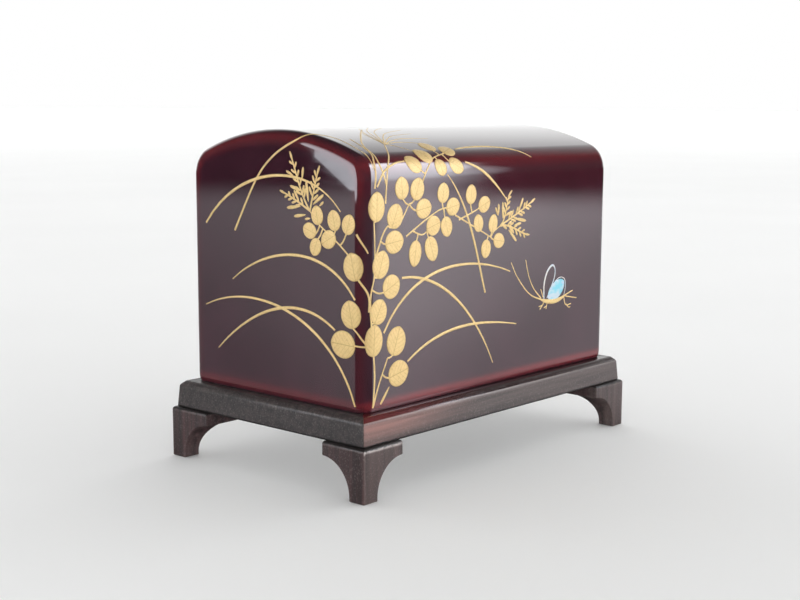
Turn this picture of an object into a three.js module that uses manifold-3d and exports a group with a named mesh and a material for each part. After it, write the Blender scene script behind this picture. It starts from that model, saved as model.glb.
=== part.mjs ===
// A small incense box: a deep domed lacquer lid over a plain inner box, on a hardwood stand with four feet.
// Millimetres, +Z up. The origin is on the ground, under the middle of the stand.
// X runs along the long sides. The front is the long side that faces -Y.

import * as THREE from 'three';
import { mergeVertices } from 'three/addons/utils/BufferGeometryUtils.js';
import Module from 'manifold-3d';

// Stand board: its sides lean in a little, and its top edge is chamfered all round
const BOARD_LENGTH = 95;
const BOARD_WIDTH = 59;
const BOARD_THICKNESS = 6.05;
const BOARD_SIDE_LEAN = 0.39;
const BOARD_CHAMFER_HEIGHT = 0.97;
const BOARD_CHAMFER_RUN = 1.1;

// Feet: square blocks under the corners, cut away inside by two crossing quarter rounds
const FOOT_HEIGHT = 11.55;
const FOOT_SPAN = 12;
const FOOT_LEG = 4.25;
const FOOT_TIP_BOTTOM = 8.5;
const FOOT_TOP_ROUND = 0.65;
const FOOT_PROUD = 0.85;

// Lid: straight sides, round shoulders and a low barrel vault, with every outer edge rounded
const LID_LENGTH = 88.8;
const LID_WIDTH = 53.4;
const LID_STRAIGHT = 47.7;
const LID_HEIGHT = 58;
const LID_SHOULDER_RADIUS = 6.3;
const LID_EDGE_RADIUS = 2.6;
const LID_WALL = 2.4;

// Inner box: an open tray that the lid slips over
const BODY_CLEARANCE = 0.4;
const BODY_WALL = 2;
const BODY_FLOOR = 2.2;
const BODY_HEIGHT = 30;
const BODY_CORNER_RADIUS = 1.2;

// How finely curves are cut into flats
const ARC_STEPS = 8;
const EDGE_STEPS = 5;

// How far a cutting block reaches past what it cuts
const CUT_MARGIN = 2;

const wasm = await Module();
wasm.setup();

// Turns a closed geometry into a solid that can be joined and cut.
function solidFrom(geometry) {
  const bare = geometry.index ? geometry.toNonIndexed() : geometry.clone();
  bare.deleteAttribute('normal');
  bare.deleteAttribute('uv');
  const merged = mergeVertices(bare);
  const vertProperties = new Float32Array(merged.attributes.position.array);
  const triVerts = new Uint32Array(merged.index.array);
  return new wasm.Manifold(new wasm.Mesh({ numProp: 3, vertProperties, triVerts }));
}

// Turns a cut solid back into a geometry.
function geometryFrom(solid) {
  const mesh = solid.getMesh();
  const geometry = new THREE.BufferGeometry();
  geometry.setAttribute('position', new THREE.BufferAttribute(new Float32Array(mesh.vertProperties), 3));
  geometry.setIndex(new THREE.BufferAttribute(new Uint32Array(mesh.triVerts), 1));
  geometry.computeVertexNormals();
  return geometry;
}

// Stands an extrusion of a (depth, height) profile upright: depth runs along Y, height along Z, length along X.
function standAlongX(geometry) {
  return geometry.rotateX(Math.PI / 2).rotateZ(Math.PI / 2);
}

// The end outline of the vaulted case, set in by a wall and carried down below the rim.
function vaultProfile(inset, drop) {
  const shoulderY = LID_WIDTH / 2 - LID_SHOULDER_RADIUS;
  const rise = LID_HEIGHT - LID_STRAIGHT;
  const vaultRadius = (shoulderY ** 2 + rise ** 2 - LID_SHOULDER_RADIUS ** 2) / (2 * (rise - LID_SHOULDER_RADIUS));
  const vaultCentre = LID_HEIGHT - vaultRadius;
  const meetAngle = Math.atan2(LID_STRAIGHT - vaultCentre, shoulderY);
  const halfWidth = LID_WIDTH / 2 - inset;
  const shoulderRadius = LID_SHOULDER_RADIUS - inset;
  const profile = new THREE.Shape();
  profile.moveTo(-halfWidth, -drop);
  profile.lineTo(halfWidth, -drop);
  profile.absarc(shoulderY, LID_STRAIGHT, shoulderRadius, 0, meetAngle, false);
  profile.absarc(0, vaultCentre, vaultRadius - inset, meetAngle, Math.PI - meetAngle, false);
  profile.absarc(-shoulderY, LID_STRAIGHT, shoulderRadius, Math.PI - meetAngle, Math.PI, false);
  profile.closePath();
  return profile;
}

// The vaulted case as a solid block with rounded ends, reaching below the rim by drop.
function vaultedBlock(drop) {
  const straightLength = LID_LENGTH - 2 * LID_EDGE_RADIUS;
  const block = new THREE.ExtrudeGeometry(vaultProfile(0, drop), {
    depth: straightLength,
    curveSegments: ARC_STEPS,
    bevelThickness: LID_EDGE_RADIUS,
    bevelSize: LID_EDGE_RADIUS,
    bevelOffset: -LID_EDGE_RADIUS,
    bevelSegments: EDGE_STEPS,
  });
  block.translate(0, 0, -straightLength / 2);
  return solidFrom(standAlongX(block));
}

// The hollow of the lid, one wall thickness inside the case and open below the rim.
function lidHollow(drop) {
  const length = LID_LENGTH - 2 * LID_WALL;
  const hollow = new THREE.ExtrudeGeometry(vaultProfile(LID_WALL, drop), {
    depth: length,
    curveSegments: ARC_STEPS,
    bevelEnabled: false,
  });
  hollow.translate(0, 0, -length / 2);
  return solidFrom(standAlongX(hollow));
}

// The deep lid, with its rim at height 0.
function lidGeometry() {
  const drop = LID_EDGE_RADIUS + CUT_MARGIN;
  const ground = new THREE.BoxGeometry(LID_LENGTH + CUT_MARGIN, LID_WIDTH + CUT_MARGIN, 2 * drop);
  ground.translate(0, 0, -drop);
  const lid = vaultedBlock(drop).subtract(solidFrom(ground)).subtract(lidHollow(drop));
  return geometryFrom(lid);
}

// A rectangle with round corners, centred on the origin.
function roundedRectangle(length, width, radius) {
  const x = length / 2 - radius;
  const y = width / 2 - radius;
  const quarter = Math.PI / 2;
  const outline = new THREE.Shape();
  outline.absarc(x, -y, radius, -quarter, 0, false);
  outline.absarc(x, y, radius, 0, quarter, false);
  outline.absarc(-x, y, radius, quarter, 2 * quarter, false);
  outline.absarc(-x, -y, radius, 2 * quarter, 3 * quarter, false);
  outline.closePath();
  return outline;
}

// The inner box, with its underside at height 0.
function bodyGeometry() {
  const length = LID_LENGTH - 2 * (LID_WALL + BODY_CLEARANCE);
  const width = LID_WIDTH - 2 * (LID_WALL + BODY_CLEARANCE);
  const flat = { curveSegments: 2, bevelEnabled: false };
  const outside = roundedRectangle(length, width, BODY_CORNER_RADIUS);
  const inside = roundedRectangle(length - 2 * BODY_WALL, width - 2 * BODY_WALL, BODY_CORNER_RADIUS);
  const block = new THREE.ExtrudeGeometry(outside, { depth: BODY_HEIGHT, ...flat });
  const hollow = new THREE.ExtrudeGeometry(inside, { depth: BODY_HEIGHT, ...flat });
  hollow.translate(0, 0, BODY_FLOOR);
  return geometryFrom(solidFrom(block).subtract(solidFrom(hollow)));
}

// The stand's board, with its underside at height 0: a block drawn in towards its top.
function boardGeometry() {
  const board = new THREE.BoxGeometry(BOARD_LENGTH, BOARD_WIDTH, BOARD_THICKNESS, 1, 1, 2);
  board.translate(0, 0, BOARD_THICKNESS / 2);
  const levels = [
    { height: 0, inset: 0 },
    { height: BOARD_THICKNESS - BOARD_CHAMFER_HEIGHT, inset: BOARD_SIDE_LEAN },
    { height: BOARD_THICKNESS, inset: BOARD_SIDE_LEAN + BOARD_CHAMFER_RUN },
  ];
  const position = board.attributes.position;
  for (let i = 0; i < position.count; i += 1) {
    const level = levels[Math.round((2 * position.getZ(i)) / BOARD_THICKNESS)];
    const x = Math.sign(position.getX(i)) * (BOARD_LENGTH / 2 - level.inset);
    const y = Math.sign(position.getY(i)) * (BOARD_WIDTH / 2 - level.inset);
    position.setXYZ(i, x, y, level.height);
  }
  board.computeVertexNormals();
  return board;
}

// The side view of a foot: a leg, a quarter-round hollow up to the tip, and a rounded outer top edge.
function footProfile() {
  const hollowRadius = FOOT_SPAN - FOOT_LEG;
  const profile = new THREE.Shape();
  profile.moveTo(0, 0);
  profile.lineTo(FOOT_LEG, 0);
  profile.absarc(FOOT_SPAN, FOOT_TIP_BOTTOM - hollowRadius, hollowRadius, Math.PI, Math.PI / 2, true);
  profile.lineTo(FOOT_SPAN, FOOT_HEIGHT);
  profile.absarc(FOOT_TOP_ROUND, FOOT_HEIGHT - FOOT_TOP_ROUND, FOOT_TOP_ROUND, Math.PI / 2, Math.PI, false);
  profile.closePath();
  return profile;
}

// One foot: its outer corner stands at the origin, and it spreads along +X and +Y.
function footGeometry() {
  const length = FOOT_SPAN + 2 * CUT_MARGIN;
  const alongY = new THREE.ExtrudeGeometry(footProfile(), {
    depth: length,
    curveSegments: ARC_STEPS,
    bevelEnabled: false,
  });
  alongY.rotateX(Math.PI / 2).translate(0, length - CUT_MARGIN, 0);
  const alongX = alongY.clone().rotateZ(Math.PI / 2).translate(FOOT_SPAN, 0, 0);
  return geometryFrom(solidFrom(alongY).intersect(solidFrom(alongX)));
}

function named(name, geometry, material) {
  const mesh = new THREE.Mesh(geometry, material);
  mesh.name = name;
  return mesh;
}

const lacquer = new THREE.MeshStandardMaterial({ color: 0x3b1116, roughness: 0.12, metalness: 0 });
const innerLacquer = new THREE.MeshStandardMaterial({ color: 0x1a0f10, roughness: 0.3, metalness: 0 });
const hardwood = new THREE.MeshStandardMaterial({ color: 0x4a2f2b, roughness: 0.5, metalness: 0 });

const incenseBox = new THREE.Group();

const board = named('stand_board', boardGeometry(), hardwood);
board.position.z = FOOT_HEIGHT;
incenseBox.add(board);

// The outer corners of the feet, counted anticlockwise from the front left
const footX = BOARD_LENGTH / 2 + FOOT_PROUD;
const footY = BOARD_WIDTH / 2 + FOOT_PROUD;
const feet = [
  { name: 'foot_front_left', x: -footX, y: -footY },
  { name: 'foot_front_right', x: footX, y: -footY },
  { name: 'foot_back_right', x: footX, y: footY },
  { name: 'foot_back_left', x: -footX, y: footY },
];
feet.forEach(({ name, x, y }, quarterTurns) => {
  const foot = named(name, footGeometry(), hardwood);
  foot.rotation.z = (quarterTurns * Math.PI) / 2;
  foot.position.set(x, y, 0);
  incenseBox.add(foot);
});

const boardTop = FOOT_HEIGHT + BOARD_THICKNESS;
const body = named('box_body', bodyGeometry(), innerLacquer);
body.position.z = boardTop;
incenseBox.add(body);

const lid = named('domed_lid', lidGeometry(), lacquer);
lid.position.z = boardTop;
incenseBox.add(lid);

export default incenseBox;
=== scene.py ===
"""A small lacquer incense box with a gold drawing of autumn grasses, on a hardwood stand with four feet.

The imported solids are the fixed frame. Each operator makes one piece or one group of like pieces around them.
The drawing is laid out in millimetres on the lid's own sides, and is then laid onto the lid's surface.
"""

import math

import bmesh
import bpy
from mathutils import Matrix, Vector


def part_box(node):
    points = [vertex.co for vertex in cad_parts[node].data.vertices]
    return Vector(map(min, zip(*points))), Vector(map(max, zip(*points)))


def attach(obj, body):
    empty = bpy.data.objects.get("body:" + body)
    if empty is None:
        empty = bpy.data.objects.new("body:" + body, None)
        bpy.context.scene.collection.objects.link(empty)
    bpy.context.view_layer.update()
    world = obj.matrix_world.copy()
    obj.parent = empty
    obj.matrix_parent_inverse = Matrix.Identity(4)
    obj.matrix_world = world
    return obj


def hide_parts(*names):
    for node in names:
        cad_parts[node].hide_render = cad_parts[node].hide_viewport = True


bl_info = {
    "name": "Lacquer incense box",
    "version": (1, 0, 0),
    "blender": (4, 5, 0),
    "location": "View3D > Sidebar > Incense box",
    "description": "Makes a domed lacquer incense box with a gold drawing, on a hardwood stand",
    "category": "Add Mesh",
}

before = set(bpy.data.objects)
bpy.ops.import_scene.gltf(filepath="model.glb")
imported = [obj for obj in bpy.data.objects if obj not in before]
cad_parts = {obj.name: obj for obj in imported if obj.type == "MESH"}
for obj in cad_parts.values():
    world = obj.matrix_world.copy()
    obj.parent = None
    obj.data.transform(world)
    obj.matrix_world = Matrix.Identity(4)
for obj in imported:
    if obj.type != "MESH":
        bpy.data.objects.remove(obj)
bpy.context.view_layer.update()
LID_LOW, LID_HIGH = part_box("domed_lid")
BOARD_LOW, BOARD_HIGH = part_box("stand_board")

BODY = "root"
MM = 0.001
FEET = ("foot_front_left", "foot_front_right", "foot_back_left", "foot_back_right")


# Settings that a user would change

def size_setting(name, description, default, low=0.0):
    return bpy.props.FloatProperty(
        name=name, description=description, default=default, min=low, precision=5,
        subtype="DISTANCE", unit="LENGTH"
    )


def colour_setting(name, description, default):
    return bpy.props.FloatVectorProperty(
        name=name, description=description, default=default, size=3, min=0.0, max=1.0, subtype="COLOR"
    )


def share_setting(name, description, default):
    return bpy.props.FloatProperty(
        name=name, description=description, default=default, min=0.0, max=1.0, subtype="FACTOR"
    )


def angle_setting(name, description, degrees):
    return bpy.props.FloatProperty(
        name=name, description=description, default=math.radians(degrees), subtype="ANGLE", unit="ROTATION"
    )


def strength_setting(name, description, default, unit="NONE"):
    return bpy.props.FloatProperty(name=name, description=description, default=default, min=0.0, unit=unit)


class LidSizes(bpy.types.PropertyGroup):
    """Sizes of the domed lid."""

    length: size_setting("Length", "Length of the lid along the long sides", LID_HIGH.x - LID_LOW.x)
    width: size_setting("Width", "Width of the lid across the gables", LID_HIGH.y - LID_LOW.y)
    height: size_setting("Height", "Height from the rim to the top of the vault", LID_HIGH.z - LID_LOW.z)
    straight: size_setting("Straight side", "Height of the flat sides below the shoulder", 0.0477)
    shoulder: size_setting("Shoulder radius", "Radius of the long shoulders under the vault", 0.0063)
    edge: size_setting("Edge radius", "Radius of the edges round the gables", 0.0026)
    wall: size_setting("Wall", "Thickness of the lid's wall", 0.0024)
    inner_edge: size_setting("Inner edge radius", "Radius of the edges inside the lid", 0.0006)
    rim_roll: size_setting("Rim roll", "Height over which the outside rolls in to the rim", 0.002)
    rim_depth: size_setting("Rim depth", "How far the outside rolls in at the rim", 0.0005)


class StandSizes(bpy.types.PropertyGroup):
    """Sizes of the worked edges on the stand and the inner box."""

    board_edge: size_setting("Board edge", "Rounding of the board's edges", 0.00028)
    foot_edge: size_setting("Foot edge", "Rounding of the feet's edges", 0.00024)
    box_edge: size_setting("Inner box edge", "Rounding of the inner box's edges", 0.0004)


class DrawingSizes(bpy.types.PropertyGroup):
    """Sizes of the gold drawing."""

    blade_root: size_setting("Blade", "Half the width of a grass blade where it is broadest", 0.00034)
    blade_tip: size_setting("Blade tip", "Half the width of a grass blade at its tip", 0.00012)
    stem: size_setting("Stem", "Half the width of a stem", 0.00026)
    petiole: size_setting("Petiole", "Half the width of a leaf's stalk", 0.0002)
    plume: size_setting("Plume", "Half the width of a plume's lines", 0.00013)
    spacing: size_setting("Line step", "Length of one step along a drawn line", 0.0005)
    line_relief: share_setting("Line relief", "Height of a drawn line, as a share of half its width", 0.3)
    leaf_relief: size_setting("Leaf relief", "Height of a leaf's middle above the lacquer", 0.00009)
    bud_width: size_setting("Bud width", "Least width of a flower bud", 0.0006)


class Finishes(bpy.types.PropertyGroup):
    """Colours of the finishes, and of the painted sheen, highlights, shade and reflection on the stand."""

    lacquer_deep: colour_setting("Lacquer, deep", "Lacquer where the coat is thick", (0.024, 0.0075, 0.0125))
    lacquer_thin: colour_setting("Lacquer, thin", "Lacquer worn thin at the edges", (0.30, 0.022, 0.02))
    inner_lacquer: colour_setting("Inner lacquer", "Lacquer of the inner box", (0.03, 0.008, 0.008))
    wood_dark: colour_setting("Wood, dark", "Hardwood between the grain lines", (0.02, 0.0114, 0.0114))
    wood_light: colour_setting("Wood, light", "Hardwood along the grain lines", (0.068, 0.0345, 0.0335))
    board_tone: colour_setting("Board tone", "Tone of the board's wood", (0.64, 0.91, 0.91))
    foot_tone: colour_setting("Foot tone", "Tone of the feet's wood", (1.0, 0.92, 0.97))
    # Real pale wear and flecks, and also the painted highlights on the front edges and the feet's upper edges
    wood_worn_and_highlit: colour_setting("Wood, worn", "Hardwood rubbed pale at the edges", (0.30, 0.26, 0.25))
    # Painted red reflection of the lid on the board's front chamfer
    chamfer_lid_reflection: colour_setting("Wood, warm", "Wood of the board's front upper edge", (0.1, 0.009, 0.011))
    # Painted sheen on the board's front, lighter towards the top
    wood_front_sheen: colour_setting("Wood, pale", "Wood rubbed on the board's front", (0.095, 0.069, 0.064))
    # Bare red wood with a painted sheen at the near end of the board's front
    wood_red_and_sheen: colour_setting("Wood, red", "Wood rubbed bare at the near end", (0.29, 0.118, 0.095))
    gold: colour_setting("Gold", "Gold powder of the drawing", (0.81, 0.595, 0.268))
    gold_thin: colour_setting("Gold, thin", "Gold where the powder is thin", (0.48, 0.31, 0.105))
    shell_blue: colour_setting("Shell, blue", "Shell's main colour", (0.15, 0.44, 0.54))
    shell_pale: colour_setting("Shell, pale", "Shell's pale clouds", (0.40, 0.48, 0.54))
    shell_edge: colour_setting("Shell, edging", "Shell of the wings' outlines", (0.52, 0.50, 0.46))
    shell_violet: colour_setting("Shell, violet", "Shell's violet clouds", (0.42, 0.37, 0.52))


class StageSettings(bpy.types.PropertyGroup):
    """Camera, floor and light."""

    azimuth: angle_setting("Azimuth", "Camera's turn round the object", -48.487)
    elevation: angle_setting("Elevation", "Camera's height angle", 8.33)
    roll: angle_setting("Roll", "Camera's roll", 0.204)
    distance: size_setting("Distance", "Camera's distance from its target", 0.32700)
    target_side: size_setting("Target side", "Target's shift to the camera's right", -0.002117, -1.0)
    target_height: size_setting("Target height", "Target's height above the floor", 0.03416)
    lens: strength_setting("Lens", "Focal length in millimetres", 61.11, "CAMERA")
    floor_colour: colour_setting("Floor", "Colour of the floor", (0.92, 0.925, 0.922))
    floor_reach: size_setting("Floor reach", "Radius of the floor", 14.0)
    mirror_reach: size_setting("Mirrored floor", "Radius of the floor that the lacquer mirrors", 1.12)
    mirror_left: strength_setting("Mirrored left", "Brightness of the mirrored floor, back left", 0.5)
    mirror_right: strength_setting("Mirrored right", "Brightness of the mirrored floor, front right", 1.2)
    surround: strength_setting("Surround", "Light from the upper surroundings", 0.36)
    low_light: strength_setting("Low light", "Light from low down all round", 8.75)
    left_share: share_setting("Left share", "Share of the surrounding light that comes from the left", 0.68)
    behind: strength_setting("Behind", "Brightness of the wall behind, as the lacquer mirrors it", 1.0)
    dim: strength_setting("Dim side", "Brightness of the room's dim side, as the lacquer mirrors it", 0.03)
    overhead: strength_setting("Overhead lamp", "Power of the lamp above, in watts", 0.45, "POWER")
    front_card: strength_setting("Front card", "Brightness of the card mirrored by the front", 5.0)
    gable_card: strength_setting("Gable card", "Brightness of the card mirrored by the gable", 2.3)


class IncenseBoxSettings(bpy.types.PropertyGroup):
    """All settings of the incense box."""

    lid: bpy.props.PointerProperty(name="Lid", description="Sizes of the lid", type=LidSizes)
    stand: bpy.props.PointerProperty(name="Stand", description="Sizes of the stand", type=StandSizes)
    drawing: bpy.props.PointerProperty(name="Drawing", description="Sizes of the drawing", type=DrawingSizes)
    finish: bpy.props.PointerProperty(name="Finish", description="Colours", type=Finishes)
    stage: bpy.props.PointerProperty(name="Stage", description="Camera and light", type=StageSettings)


def settings():
    return bpy.context.scene.incense_box


# Numbers

def even_steps(low, high, count):
    """Evenly spaced values from a low one up to, but without, a high one."""
    return [low + (high - low) * i / count for i in range(count)]


def ramp(value, low, high):
    """0 below a range, 1 above it, and even in between."""
    return min(max((value - low) / (high - low), 0.0), 1.0)


def peak(value, middle, reach):
    """1 at a middle value, falling evenly to 0 at its reach to both sides."""
    return max(0.0, 1.0 - abs(value - middle) / reach)


def scaled(values, share):
    return [share * value for value in values]


# Nodes

class Nodes:
    """Adds nodes to one tree and links them."""

    def __init__(self, tree):
        self.tree = tree

    def fill(self, node, inputs):
        """Links or sets a node's inputs, by name or by number. Colours of three channels are made opaque."""
        for name, value in inputs.items():
            socket = node.inputs[name]
            if isinstance(value, bpy.types.NodeSocket):
                self.tree.links.new(value, socket)
            elif socket.type == "RGBA":
                socket.default_value = (*value, 1.0)
            else:
                socket.default_value = value

    def add(self, kind, inputs=None, **values):
        """A new node with its own values and inputs."""
        node = self.tree.nodes.new(kind)
        for name, value in values.items():
            setattr(node, name, value)
        self.fill(node, inputs or {})
        return node

    def out(self, kind, inputs=None, output=0, **values):
        """One output of a new node."""
        return self.add(kind, inputs, **values).outputs[output]

    def place(self, kind="Object"):
        return self.out("ShaderNodeTexCoord", output=kind)

    def parts(self, vector):
        """The x, y and z of a vector."""
        return self.add("ShaderNodeSeparateXYZ", {"Vector": vector}).outputs

    def attribute(self, name, output="Fac"):
        return self.out("ShaderNodeAttribute", output=output, attribute_name=name)

    def named(self, name, kind="FLOAT"):
        """A mesh attribute in a geometry tree."""
        return self.out("GeometryNodeInputNamedAttribute", {"Name": name}, data_type=kind)

    def math(self, operation, *values, clamp=False):
        return self.out("ShaderNodeMath", dict(enumerate(values)), operation=operation, use_clamp=clamp)

    def plus(self, first, second, clamp=False):
        return self.math("ADD", first, second, clamp=clamp)

    def minus(self, first, second, clamp=False):
        return self.math("SUBTRACT", first, second, clamp=clamp)

    def size(self, value):
        """A number without its sign."""
        return self.math("ABSOLUTE", value)

    def most(self, first, second):
        """The larger of two numbers."""
        return self.math("MAXIMUM", first, second)

    def times(self, product, *values, clamp=False):
        """The product of several numbers."""
        for value in values:
            product = self.math("MULTIPLY", product, value, clamp=clamp)
        return product

    def vector(self, operation, *values):
        """Sums on vectors. Lengths, distances and dot products are numbers."""
        output = "Value" if operation in ("LENGTH", "DISTANCE", "DOT_PRODUCT") else "Vector"
        return self.out("ShaderNodeVectorMath", dict(enumerate(values)), output, operation=operation)

    def step(self, value, low, high, to_low=0.0, to_high=1.0):
        """A smooth step of a value from one range to another."""
        inputs = dict(enumerate((value, low, high, to_low, to_high)))
        return self.out("ShaderNodeMapRange", inputs, interpolation_type="SMOOTHSTEP")

    def mix(self, factor, first, second, blend="MIX"):
        """A mix of two colours."""
        inputs = {0: factor, 6: first, 7: second}
        return self.out("ShaderNodeMix", inputs, 2, data_type="RGBA", blend_type=blend)

    def choose(self, factor, first, second):
        """A mix of two numbers."""
        return self.out("ShaderNodeMix", {"Factor": factor, "A": first, "B": second})

    def noise(self, place, scale, detail=3.0, roughness=0.55):
        inputs = {"Vector": place, "Scale": scale, "Detail": detail, "Roughness": roughness}
        return self.out("ShaderNodeTexNoise", inputs, "Fac")

    def stretched(self, place, scale):
        return self.out("ShaderNodeMapping", {"Vector": place, "Scale": scale})

    def bump(self, height, strength, distance):
        inputs = {"Height": height, "Strength": strength, "Distance": distance}
        return self.out("ShaderNodeBump", inputs, "Normal")


def new_material(name, kind="ShaderNodeBsdfPrincipled"):
    """A material with one shader, its nodes and that shader."""
    material = bpy.data.materials.new(name)
    material.use_nodes = True
    nodes = Nodes(material.node_tree)
    nodes.tree.nodes.clear()
    shader = nodes.add(kind)
    nodes.add("ShaderNodeOutputMaterial", {"Surface": shader.outputs[0]})
    return material, nodes, shader


# Finishes

def lacquer_material(finish):
    """Clear brown lacquer over red: deep maroon, and red where the coat is thin."""
    material, nodes, shader = new_material("lacquer_coat")
    place = nodes.place()
    clouds = nodes.noise(place, 55.0, 4.0)
    thin = nodes.times(nodes.attribute("thin"), nodes.math("MULTIPLY_ADD", clouds, 0.9, 0.5), clamp=True)
    deep = nodes.mix(nodes.step(clouds, 0.35, 0.7), finish.lacquer_deep, scaled(finish.lacquer_deep, 1.35))
    rubbed = nodes.noise(nodes.stretched(place, (25.0, 25.0, 140.0)), 6.0)
    nodes.fill(shader, {
        "Base Color": nodes.mix(thin, deep, finish.lacquer_thin),
        "Roughness": nodes.step(rubbed, 0.3, 0.75, 0.03, 0.07),
        "Normal": nodes.bump(nodes.noise(place, 160.0, 1.0), 0.015, 0.4 * MM),
        "IOR": 1.6,
        "Specular IOR Level": 0.75,
        "Coat Weight": 1.0,
        "Coat Roughness": 0.015,
        "Coat IOR": 1.6,
    })
    return material


def inner_lacquer_material(finish):
    """Dark lacquer of the inner box, softer than the lid's."""
    material, nodes, shader = new_material("inner_lacquer_coat")
    place = nodes.place()
    clouds = nodes.noise(place, 70.0, 4.0)
    brushed = nodes.noise(nodes.stretched(place, (30.0, 400.0, 400.0)), 3.0, 2.0)
    lighter = scaled(finish.inner_lacquer, 1.6)
    nodes.fill(shader, {
        "Base Color": nodes.mix(nodes.step(clouds, 0.3, 0.75), finish.inner_lacquer, lighter),
        "Roughness": nodes.step(clouds, 0.3, 0.7, 0.22, 0.34),
        "Normal": nodes.bump(brushed, 0.05, 0.3 * MM),
    })
    return material


# Scale of the grain's figure along and across it, and how much finer the pores are
GRAIN_ALONG = 22.0
GRAIN_ACROSS = 820.0
PORE_FINENESS = 5.0
# Colour of the painted shade in the joint between the board and the feet
JOINT_SHADE = (0.006, 0.004, 0.0035)


def wood_grain(nodes, place, finish, grain_axis, tone):
    """Hardwood before it is rubbed: its figure, its pores and its colour."""
    scale = [GRAIN_ACROSS] * 3
    scale[grain_axis] = GRAIN_ALONG
    grain = nodes.stretched(place, scale)
    figure = nodes.noise(grain, 1.0, 5.0, 0.62)
    shade = nodes.step(nodes.noise(grain, 0.28, 2.0), 0.3, 0.7, 0.8, 1.15)
    pores = nodes.noise(nodes.stretched(place, scaled(scale, PORE_FINENESS)), 1.0, 1.0)
    pore = nodes.step(pores, 0.62, 0.7)
    wood = nodes.mix(nodes.step(figure, 0.32, 0.7), finish.wood_dark, finish.wood_light)
    wood = nodes.mix(1.0, wood, shade, "MULTIPLY")
    wood = nodes.mix(1.0, wood, tone, "MULTIPLY")
    return figure, pore, nodes.mix(pore, wood, scaled(finish.wood_dark, 0.35))


def hardwood_material(name, finish, grain_axis, tone):
    """Dark rubbed hardwood, worn at its edges, with painted highlights on its front edges and painted shade
    with a painted red reflection on the front chamfer. The board's front is paler with a painted sheen, and
    bare with a painted sheen towards its near end.
    """
    material, nodes, shader = new_material(name)
    place = nodes.place()
    figure, pore, wood = wood_grain(nodes, place, finish, grain_axis, tone)
    x, y, height = nodes.parts(place)
    under, top = BOARD_LOW.z, BOARD_HIGH.z

    # Where a place lies: on the front, towards its near end, on the board or on its front chamfer
    depth = nodes.minus(y, BOARD_LOW.y)
    end_depth = nodes.minus(BOARD_HIGH.x, nodes.size(x))
    mitred = nodes.step(nodes.minus(end_depth, depth), -0.1 * MM, 0.2 * MM)
    front = nodes.times(mitred, nodes.step(depth, 0.8 * MM, 2.2 * MM, 1.0, 0.0))
    near = nodes.step(x, BOARD_LOW.x, BOARD_LOW.x + 44 * MM, 0.74, 0.0)
    near_front = nodes.times(front, near)
    on_board = nodes.step(height, under, under + 0.3 * MM)
    upper = nodes.step(height, top - 1.08 * MM, top - 0.9 * MM, 0.0, 0.9)
    chamfer = nodes.times(upper, mitred, nodes.step(depth, 3.5 * MM, 4.5 * MM, 1.0, 0.0))

    # The front paled by a painted sheen that grows towards the top, pale flecks, and bare red wood with a
    # painted sheen at the near end
    rubbed = nodes.times(nodes.step(figure, 0.2, 0.75, 0.3, 0.9), nodes.step(height, under, top, 0.7, 1.2))
    wood = nodes.mix(nodes.times(front, rubbed), wood, finish.wood_front_sheen)
    flecks = nodes.step(nodes.noise(place, 2600.0, 2.0), 0.52, 0.7, 0.0, 0.22)
    wood = nodes.mix(flecks, wood, finish.wood_worn_and_highlit)
    # Bare red wood and a painted sheen towards the near end of the front, stronger towards the top
    rising = nodes.step(height, under, under + 4.5 * MM, 0.3, 1.0)
    bare_and_sheen = nodes.times(near_front, nodes.step(figure, 0.3, 0.6, 0.45, 1.0), on_board, rising)
    wood = nodes.mix(bare_and_sheen, wood, finish.wood_red_and_sheen)

    # Worn edges with painted highlights, most of all on the feet's upper edges, strongest near the front's
    # near end, and under the board's front chamfer
    foot_top = nodes.step(height, under - 1.4 * MM, under - 0.7 * MM)
    foot_top = nodes.minus(foot_top, on_board, clamp=True)
    below = nodes.minus(nodes.step(height, top - 1.6 * MM, top - 1.2 * MM, 0.0, 0.9), upper, clamp=True)
    edge = nodes.times(foot_top, nodes.math("MULTIPLY_ADD", near_front, 2.6, 0.12))
    edge = nodes.plus(edge, nodes.plus(nodes.times(front, below, 0.45), 0.1))
    rub = nodes.times(nodes.attribute("worn"), nodes.step(figure, 0.25, 0.6, 0.1, 0.6))
    wood = nodes.mix(nodes.times(rub, edge, clamp=True), wood, finish.wood_worn_and_highlit)
    # Painted shade on the board's front chamfer, with a painted red reflection of the lid towards its near end
    wood = nodes.mix(chamfer, wood, nodes.mix(near, finish.wood_dark, finish.chamfer_lid_reflection))

    # Painted shade in the joint between the board and the feet, with a ragged edge
    from_joint = nodes.size(nodes.minus(height, under))
    from_joint = nodes.math("MULTIPLY_ADD", nodes.noise(place, 1500.0, 2.0), -0.6 * MM, from_joint)
    joint_shade = nodes.step(from_joint, -0.05 * MM, 0.3 * MM, 0.97, 0.0)

    satin = nodes.step(figure, 0.3, 0.7, 0.42, 0.32)
    relief = nodes.minus(nodes.times(figure, 0.4), pore)
    nodes.fill(shader, {
        "Base Color": nodes.mix(joint_shade, wood, JOINT_SHADE),
        "Roughness": nodes.minus(satin, nodes.times(chamfer, 0.25)),
        "Normal": nodes.bump(relief, 0.25, 0.08 * MM),
        "Specular IOR Level": 0.9,
    })
    return material


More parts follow.
